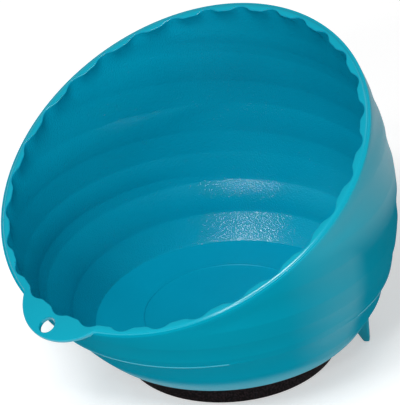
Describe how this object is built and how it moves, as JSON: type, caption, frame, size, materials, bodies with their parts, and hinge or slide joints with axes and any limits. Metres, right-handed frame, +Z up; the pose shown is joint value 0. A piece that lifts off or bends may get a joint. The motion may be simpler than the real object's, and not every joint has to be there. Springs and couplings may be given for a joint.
{
  "type": "magnetic parts tray",
  "caption": "Leaning round plastic bowl with a slanted scooped rim and a hanging tab, on a flat magnetic base that grips steel and holds small metal parts.",
  "frame": {"origin": "centre of the base pad's underside, on the surface the tray stands on", "axes": "+Z up along the base's axis, -Y towards the hanging tab and the rim's low side, +Y towards the tall side"},
  "size_m": [0.1484, 0.1498, 0.119],
  "materials": {
    "bowl_plastic": "satin outside, fine spark-eroded grain inside",
    "base_rubber": "matt, finely speckled",
    "pad_rubber": "matt",
    "ferrite": "sintered, matt",
    "plated_steel": "zinc plated"
  },
  "bodies": {
    "root": {"bowl": "bowl_plastic", "base_cup": "base_rubber", "ring_magnet": "ferrite", "pole_plate": "plated_steel", "fixing_screws": "plated_steel", "base_pad": "pad_rubber"}
  },
  "joints": []
}
